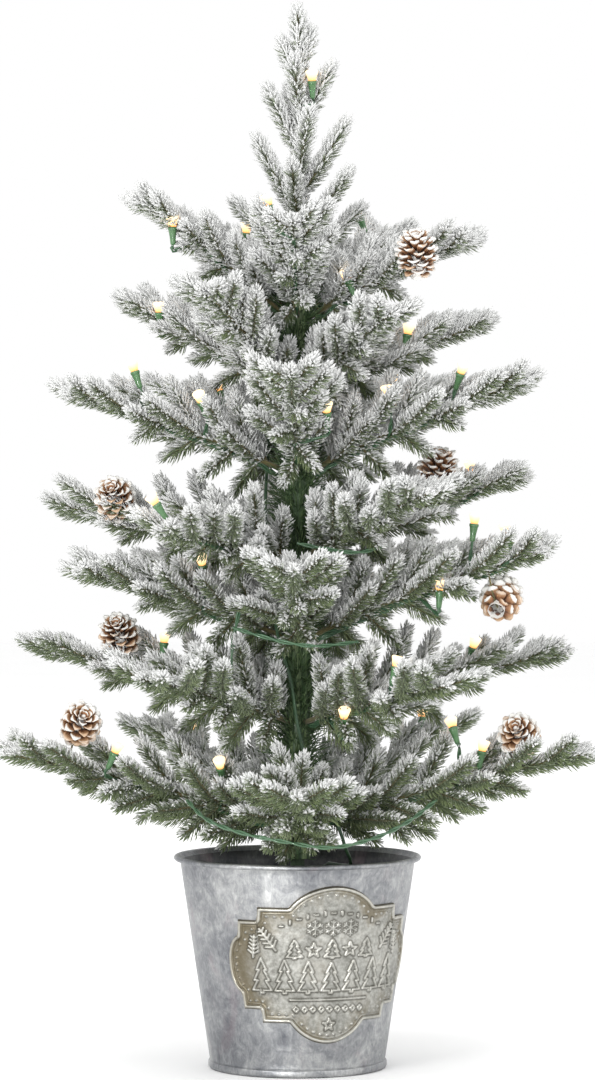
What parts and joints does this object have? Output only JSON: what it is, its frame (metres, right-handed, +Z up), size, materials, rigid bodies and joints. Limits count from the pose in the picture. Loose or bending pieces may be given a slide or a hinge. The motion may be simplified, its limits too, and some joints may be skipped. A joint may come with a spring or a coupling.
{
  "type": "artificial tabletop tree",
  "caption": "Flocked artificial fir with bendable branch tiers, pine cones and a battery light string, standing in a tapered galvanised bucket with an embossed plaque.",
  "frame": {"origin": "on the trunk's axis, at the foot of the bucket where it meets the table", "axes": "+Z up the trunk, -Y to the front of the tree, +X to the right seen from the front"},
  "size_m": [0.337, 0.2965, 0.6102],
  "materials": {
    "galvanised_sheet": "satin",
    "bright_wire": "satin",
    "aged_brass": "satin",
    "cast_weight": "matte",
    "painted_pole": "satin",
    "green_tinsel": "matte",
    "flocked_needles": "matte",
    "cone_scales": "matte",
    "box_plastic": "matte",
    "cell_wrap": "satin",
    "board": "matte",
    "wire_insulation": "satin"
  },
  "bodies": {
    "bucket_and_trunk": {"battery_case": "box_plastic", "battery_cell_1": "cell_wrap", "battery_cell_2": "cell_wrap", "battery_cell_3": "cell_wrap", "bucket_base": "galvanised_sheet", "bucket_shell": "galvanised_sheet", "contact_plates": "bright_wire", "contact_springs": "bright_wire", "light_wire": "wire_insulation", "plaque": "aged_brass", "rim_wire": "bright_wire", "timer_board": "board", "trunk_garland": "green_tinsel", "trunk_pole": "painted_pole", "weight_block": "cast_weight"},
    "branch1_front": {"branch1_front": "flocked_needles"},
    "branch1_right": {"branch1_right": "flocked_needles", "pine_cone_1_right": "cone_scales"},
    "branch1_back_right": {"branch1_back_right": "flocked_needles"},
    "branch1_back_left": {"branch1_back_left": "flocked_needles"},
    "branch1_left": {"branch1_left": "flocked_needles"},
    "branch2_front_right": {"branch2_front_right": "flocked_needles"},
    "branch2_right": {"branch2_right": "flocked_needles"},
    "branch2_back": {"branch2_back": "flocked_needles"},
    "branch2_left": {"branch2_left": "flocked_needles"},
    "branch2_front_left": {"branch2_front_left": "flocked_needles"},
    "branch3_front": {"branch3_front": "flocked_needles"},
    "branch3_right": {"branch3_right": "flocked_needles"},
    "branch3_back_right": {"branch3_back_right": "flocked_needles"},
    "branch3_back_left": {"branch3_back_left": "flocked_needles"},
    "branch3_left": {"branch3_left": "flocked_needles"},
    "branch4_front_right": {"branch4_front_right": "flocked_needles"},
    "branch4_right": {"branch4_right": "flocked_needles", "pine_cone_4_right": "cone_scales"},
    "branch4_back": {"branch4_back": "flocked_needles"},
    "branch4_left": {"branch4_left": "flocked_needles", "pine_cone_4_left": "cone_scales"},
    "branch4_front_left": {"branch4_front_left": "flocked_needles"},
    "branch5_front": {"branch5_front": "flocked_needles"},
    "branch5_right": {"branch5_right": "flocked_needles", "pine_cone_5_right": "cone_scales"},
    "branch5_back_right": {"branch5_back_right": "flocked_needles"},
    "branch5_back_left": {"branch5_back_left": "flocked_needles"},
    "branch5_left": {"branch5_left": "flocked_needles"},
    "branch6_front_right": {"branch6_front_right": "flocked_needles"},
    "branch6_right": {"branch6_right": "flocked_needles"},
    "branch6_back": {"branch6_back": "flocked_needles"},
    "branch6_left": {"branch6_left": "flocked_needles", "pine_cone_6_left": "cone_scales"},
    "branch6_front_left": {"branch6_front_left": "flocked_needles"},
    "branch7_front": {"branch7_front": "flocked_needles"},
    "branch7_right": {"branch7_right": "flocked_needles", "pine_cone_7_right": "cone_scales"},
    "branch7_back_right": {"branch7_back_right": "flocked_needles"},
    "branch7_back_left": {"branch7_back_left": "flocked_needles"},
    "branch7_left": {"branch7_left": "flocked_needles", "pine_cone_7_left": "cone_scales"},
    "leader": {"top_leader": "flocked_needles"},
    "lid": {"battery_lid": "box_plastic"},
    "switch": {"switch_knob": "box_plastic"}
  },
  "joints": [
    {"name": "branch1_front_bend", "type": "hinge", "parent": "bucket_and_trunk", "child": "branch1_front", "pos_m": [-0.00028, -0.00789, 0.43], "axis": [-0.9994, 0.0349, 0], "range_deg": [-14, 12]},
    {"name": "branch1_right_bend", "type": "hinge", "parent": "bucket_and_trunk", "child": "branch1_right", "pos_m": [0.00751, -0.00244, 0.43], "axis": [-0.309, -0.9511, 0], "range_deg": [-14, 12]},
    {"name": "branch1_back_right_bend", "type": "hinge", "parent": "bucket_and_trunk", "child": "branch1_back_right", "pos_m": [0.00464, 0.00639, 0.43], "axis": [0.809, -0.5878, 0], "range_deg": [-14, 12]},
    {"name": "branch1_back_left_bend", "type": "hinge", "parent": "bucket_and_trunk", "child": "branch1_back_left", "pos_m": [-0.00464, 0.00639, 0.43], "axis": [0.809, 0.5878, 0], "range_deg": [-14, 12]},
    {"name": "branch1_left_bend", "type": "hinge", "parent": "bucket_and_trunk", "child": "branch1_left", "pos_m": [-0.00756, -0.00231, 0.43], "axis": [-0.2924, 0.9563, 0], "range_deg": [-14, 12]},
    {"name": "branch2_front_right_bend", "type": "hinge", "parent": "bucket_and_trunk", "child": "branch2_front_right", "pos_m": [0.00442, -0.00655, 0.385], "axis": [-0.829, -0.5592, 0], "range_deg": [-14, 10]},
    {"name": "branch2_right_bend", "type": "hinge", "parent": "bucket_and_trunk", "child": "branch2_right", "pos_m": [0.00756, 0.00231, 0.385], "axis": [0.2924, -0.9563, 0], "range_deg": [-14, 12]},
    {"name": "branch2_back_bend", "type": "hinge", "parent": "bucket_and_trunk", "child": "branch2_back", "pos_m": [0, 0.0079, 0.385], "axis": [1, 0, 0], "range_deg": [-14, 12]},
    {"name": "branch2_left_bend", "type": "hinge", "parent": "bucket_and_trunk", "child": "branch2_left", "pos_m": [-0.00756, 0.00231, 0.385], "axis": [0.2924, 0.9563, 0], "range_deg": [-14, 12]},
    {"name": "branch2_front_left_bend", "type": "hinge", "parent": "bucket_and_trunk", "child": "branch2_front_left", "pos_m": [-0.0043, -0.00662, 0.385], "axis": [-0.8387, 0.5446, 0], "range_deg": [-14, 12]},
    {"name": "branch3_front_bend", "type": "hinge", "parent": "bucket_and_trunk", "child": "branch3_front", "pos_m": [-0.00028, -0.00789, 0.3415], "axis": [-0.9994, 0.0349, 0], "range_deg": [-14, 12]},
    {"name": "branch3_right_bend", "type": "hinge", "parent": "bucket_and_trunk", "child": "branch3_right", "pos_m": [0.00756, -0.00231, 0.3415], "axis": [-0.2924, -0.9563, 0], "range_deg": [-14, 12]},
    {"name": "branch3_back_right_bend", "type": "hinge", "parent": "bucket_and_trunk", "child": "branch3_back_right", "pos_m": [0.00464, 0.00639, 0.3415], "axis": [0.809, -0.5878, 0], "range_deg": [-14, 12]},
    {"name": "branch3_back_left_bend", "type": "hinge", "parent": "bucket_and_trunk", "child": "branch3_back_left", "pos_m": [-0.00464, 0.00639, 0.3415], "axis": [0.809, 0.5878, 0], "range_deg": [-14, 12]},
    {"name": "branch3_left_bend", "type": "hinge", "parent": "bucket_and_trunk", "child": "branch3_left", "pos_m": [-0.00751, -0.00244, 0.3415], "axis": [-0.309, 0.9511, 0], "range_deg": [-14, 12]},
    {"name": "branch4_front_right_bend", "type": "hinge", "parent": "bucket_and_trunk", "child": "branch4_front_right", "pos_m": [0.00464, -0.00639, 0.2925], "axis": [-0.809, -0.5878, 0], "range_deg": [-14, 12]},
    {"name": "branch4_right_bend", "type": "hinge", "parent": "bucket_and_trunk", "child": "branch4_right", "pos_m": [0.00751, 0.00244, 0.2925], "axis": [0.309, -0.9511, 0], "range_deg": [-14, 12]},
    {"name": "branch4_back_bend", "type": "hinge", "parent": "bucket_and_trunk", "child": "branch4_back", "pos_m": [0, 0.0079, 0.2925], "axis": [1, 0, 0], "range_deg": [-14, 12]},
    {"name": "branch4_left_bend", "type": "hinge", "parent": "bucket_and_trunk", "child": "branch4_left", "pos_m": [-0.00756, 0.00231, 0.2925], "axis": [0.2924, 0.9563, 0], "range_deg": [-14, 12]},
    {"name": "branch4_front_left_bend", "type": "hinge", "parent": "bucket_and_trunk", "child": "branch4_front_left", "pos_m": [-0.00464, -0.00639, 0.2925], "axis": [-0.809, 0.5878, 0], "range_deg": [-14, 12]},
    {"name": "branch5_front_bend", "type": "hinge", "parent": "bucket_and_trunk", "child": "branch5_front", "pos_m": [-0.00014, -0.0079, 0.2465], "axis": [-0.9998, 0.0175, 0], "range_deg": [-14, 12]},
    {"name": "branch5_right_bend", "type": "hinge", "parent": "bucket_and_trunk", "child": "branch5_right", "pos_m": [0.00751, -0.00244, 0.2465], "axis": [-0.309, -0.9511, 0], "range_deg": [-14, 12]},
    {"name": "branch5_back_right_bend", "type": "hinge", "parent": "bucket_and_trunk", "child": "branch5_back_right", "pos_m": [0.00464, 0.00639, 0.2465], "axis": [0.809, -0.5878, 0], "range_deg": [-14, 12]},
    {"name": "branch5_back_left_bend", "type": "hinge", "parent": "bucket_and_trunk", "child": "branch5_back_left", "pos_m": [-0.00464, 0.00639, 0.2465], "axis": [0.809, 0.5878, 0], "range_deg": [-14, 12]},
    {"name": "branch5_left_bend", "type": "hinge", "parent": "bucket_and_trunk", "child": "branch5_left", "pos_m": [-0.00751, -0.00244, 0.2465], "axis": [-0.309, 0.9511, 0], "range_deg": [-12, 12]},
    {"name": "branch6_front_right_bend", "type": "hinge", "parent": "bucket_and_trunk", "child": "branch6_front_right", "pos_m": [0.00453, -0.00647, 0.198], "axis": [-0.8192, -0.5736, 0], "range_deg": [-14, 12]},
    {"name": "branch6_right_bend", "type": "hinge", "parent": "bucket_and_trunk", "child": "branch6_right", "pos_m": [0.00751, 0.00244, 0.198], "axis": [0.309, -0.9511, 0], "range_deg": [-14, 12]},
    {"name": "branch6_back_bend", "type": "hinge", "parent": "bucket_and_trunk", "child": "branch6_back", "pos_m": [0, 0.0079, 0.198], "axis": [1, 0, 0], "range_deg": [-14, 12]},
    {"name": "branch6_left_bend", "type": "hinge", "parent": "bucket_and_trunk", "child": "branch6_left", "pos_m": [-0.00756, 0.00231, 0.198], "axis": [0.2924, 0.9563, 0], "range_deg": [-14, 9]},
    {"name": "branch6_front_left_bend", "type": "hinge", "parent": "bucket_and_trunk", "child": "branch6_front_left", "pos_m": [-0.00453, -0.00647, 0.198], "axis": [-0.8192, 0.5736, 0], "range_deg": [-14, 12]},
    {"name": "branch7_front_bend", "type": "hinge", "parent": "bucket_and_trunk", "child": "branch7_front", "pos_m": [0, -0.0079, 0.1375], "axis": [-1, 0, 0], "range_deg": [-14, 12]},
    {"name": "branch7_right_bend", "type": "hinge", "parent": "bucket_and_trunk", "child": "branch7_right", "pos_m": [0.00751, -0.00244, 0.1375], "axis": [-0.309, -0.9511, 0], "range_deg": [-14, 12]},
    {"name": "branch7_back_right_bend", "type": "hinge", "parent": "bucket_and_trunk", "child": "branch7_back_right", "pos_m": [0.00464, 0.00639, 0.1375], "axis": [0.809, -0.5878, 0], "range_deg": [-14, 12]},
    {"name": "branch7_back_left_bend", "type": "hinge", "parent": "bucket_and_trunk", "child": "branch7_back_left", "pos_m": [-0.00464, 0.00639, 0.1375], "axis": [0.809, 0.5878, 0], "range_deg": [-14, 12]},
    {"name": "branch7_left_bend", "type": "hinge", "parent": "bucket_and_trunk", "child": "branch7_left", "pos_m": [-0.00751, -0.00244, 0.1375], "axis": [-0.309, 0.9511, 0], "range_deg": [-14, 12]},
    {"name": "leader_lean", "type": "hinge", "parent": "bucket_and_trunk", "child": "leader", "pos_m": [0, 0, 0.4526], "axis": [0, 1, 0], "range_deg": [-8, 8]},
    {"name": "battery_lid_slide", "type": "slide", "parent": "bucket_and_trunk", "child": "lid", "axis": [0, 0, 1], "range_m": [0, 0.021]},
    {"name": "switch_slide", "type": "slide", "parent": "bucket_and_trunk", "child": "switch", "axis": [1, 0, 0], "range_m": [0, 0.004]}
  ]
}
